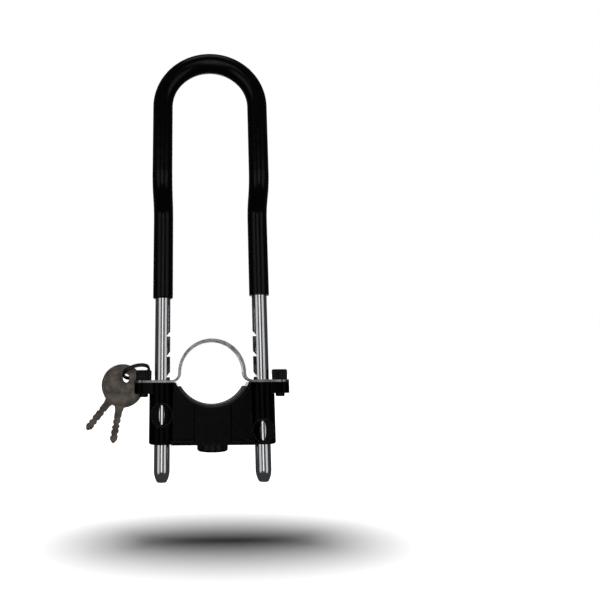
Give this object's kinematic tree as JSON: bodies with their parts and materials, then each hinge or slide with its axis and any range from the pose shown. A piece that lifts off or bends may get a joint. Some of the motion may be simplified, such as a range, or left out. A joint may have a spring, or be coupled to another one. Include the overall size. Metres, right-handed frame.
{
  "type": "u lock",
  "caption": "Long sleeved U shackle with notched legs sliding in a cast lock body that clamps to a round tube with a strap; keys hang on a split ring.",
  "frame": {"origin": "on the axis of the clamped tube, midway between the legs and midway across the strap", "axes": "X from leg to leg, +Y along the tube's axis and away from the front with the windows, +Z along the legs towards the bow"},
  "size_m": [0.1314, 0.0358, 0.2836],
  "materials": {
    "cast": "satin black over die casting",
    "chrome": "polished",
    "sleeve": "glossy black vinyl",
    "zinc": "bright zinc",
    "black_steel": "black oxide",
    "pad": "matt grey",
    "brass": "machined",
    "steel": "ground",
    "nickel": "worn nickel plate"
  },
  "bodies": {
    "lock": {"lock_body": "cast", "rear_cover": "cast", "cover_screws": "black_steel", "saddle_pad": "pad", "clamp_strap": "zinc", "clamp_screws": "black_steel", "cylinder_barrel": "brass", "cylinder_cap": "black_steel", "barrel_pin": "steel"},
    "shackle": {"shackle_rod": "chrome", "shackle_sleeve": "sleeve"},
    "cylinder": {"cylinder_plug": "brass", "wafers": "brass", "wafer_springs": "steel", "cam": "steel", "cam_screw": "steel"},
    "bolt_left": {"left_bolt": "steel"},
    "bolt_right": {"right_bolt": "steel"},
    "ring": {"key_ring": "nickel"},
    "first_key": {"key_one": "nickel"},
    "second_key": {"key_two": "nickel"}
  },
  "joints": [
    {"name": "shackle_slide", "type": "slide", "parent": "lock", "child": "shackle", "axis": [0, 0, 1], "range_m": [-0.052, 0.08]},
    {"name": "cylinder_turn", "type": "hinge", "parent": "lock", "child": "cylinder", "pos_m": [0, 0, -0.04], "axis": [0, 0, -1], "range_deg": [0, 90]},
    {"name": "left_bolt_slide", "type": "slide", "parent": "lock", "child": "bolt_left", "axis": [-1, 0, 0], "range_m": [0, 0.00453]},
    {"name": "right_bolt_slide", "type": "slide", "parent": "lock", "child": "bolt_right", "axis": [1, 0, 0], "range_m": [0, 0.00453]},
    {"name": "ring_lift", "type": "hinge", "parent": "lock", "child": "ring", "pos_m": [-0.0425, 0.005, 0.0025], "axis": [0, 1, 0], "range_deg": [0, 25]},
    {"name": "key_one_swing", "type": "hinge", "parent": "ring", "child": "first_key", "pos_m": [-0.05555, 0.00833, -0.0028], "axis": [-0.0872, 0.9962, 0], "range_deg": [-15, 15]},
    {"name": "key_two_swing", "type": "hinge", "parent": "ring", "child": "second_key", "pos_m": [-0.0571, 0.00615, -0.0026], "axis": [-0.0872, 0.9962, 0], "range_deg": [-15, 15]}
  ],
  "couplings": [
    {"joint": "left_bolt_slide", "follows": "cylinder_turn", "m_per_rad": 0.002881},
    {"joint": "right_bolt_slide", "follows": "cylinder_turn", "m_per_rad": 0.002881}
  ]
}
